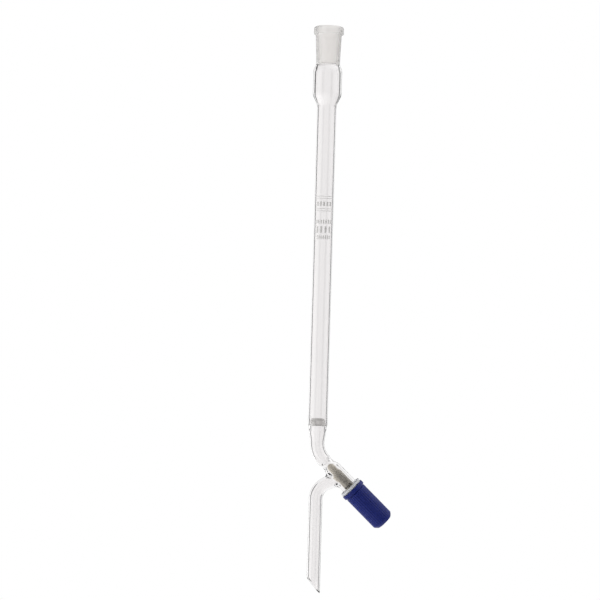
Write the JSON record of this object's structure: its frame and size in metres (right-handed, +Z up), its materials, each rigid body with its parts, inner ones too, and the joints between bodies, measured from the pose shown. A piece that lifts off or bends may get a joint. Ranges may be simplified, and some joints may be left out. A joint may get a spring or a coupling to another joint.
{
  "type": "chromatography column",
  "caption": "Slim glass column with a ground socket, a small reservoir, a sintered frit, an angled needle valve with a blue screw cap, and a bevelled drip tube.",
  "frame": {"origin": "on the tube's axis at the middle of the plain tube, where a laboratory clamp holds the column, 215 mm above the lowest point of the drip tube", "axes": "+Z up along the tube's axis to the socket's rim, +X towards the side the valve leans to, +Y to the back; the printed mark faces -Y"},
  "size_m": [0.059, 0.0194, 0.369],
  "materials": {
    "clear_glass": "polished, clear",
    "ground_glass": "frosted by grinding",
    "sintered_glass": "matte, granular",
    "enamel": "matte printed enamel",
    "ptfe": "waxy, satin",
    "seal_rubber": "matte",
    "ring_plastic": "natural, slightly see-through",
    "cap_plastic": "satin moulded"
  },
  "bodies": {
    "glass": {"ground_socket": "ground_glass", "reservoir_bulb": "clear_glass", "column_tube": "clear_glass", "frit_disc": "sintered_glass", "drain_cone": "clear_glass", "inlet_bend": "clear_glass", "valve_seat": "clear_glass", "valve_barrel": "clear_glass", "side_arm": "clear_glass", "drip_tube": "clear_glass", "printed_mark": "enamel"},
    "ring": {"stop_ring": "ring_plastic"},
    "key": {"screw_cap": "cap_plastic", "spindle": "ptfe", "seal_front": "seal_rubber", "seal_rear": "seal_rubber"}
  },
  "joints": [
    {"name": "key_travel", "type": "slide", "parent": "glass", "child": "ring", "axis": [0.7193, 0, -0.6947], "range_m": [0, 0.0075]},
    {"name": "cap_turn", "type": "hinge", "parent": "ring", "child": "key", "pos_m": [0, 0, -0.1235], "axis": [0.7193, 0, -0.6947], "range_deg": [0, 1080]}
  ],
  "couplings": [
    {"joint": "key_travel", "follows": "cap_turn", "m_per_rad": 0.00039789}
  ]
}
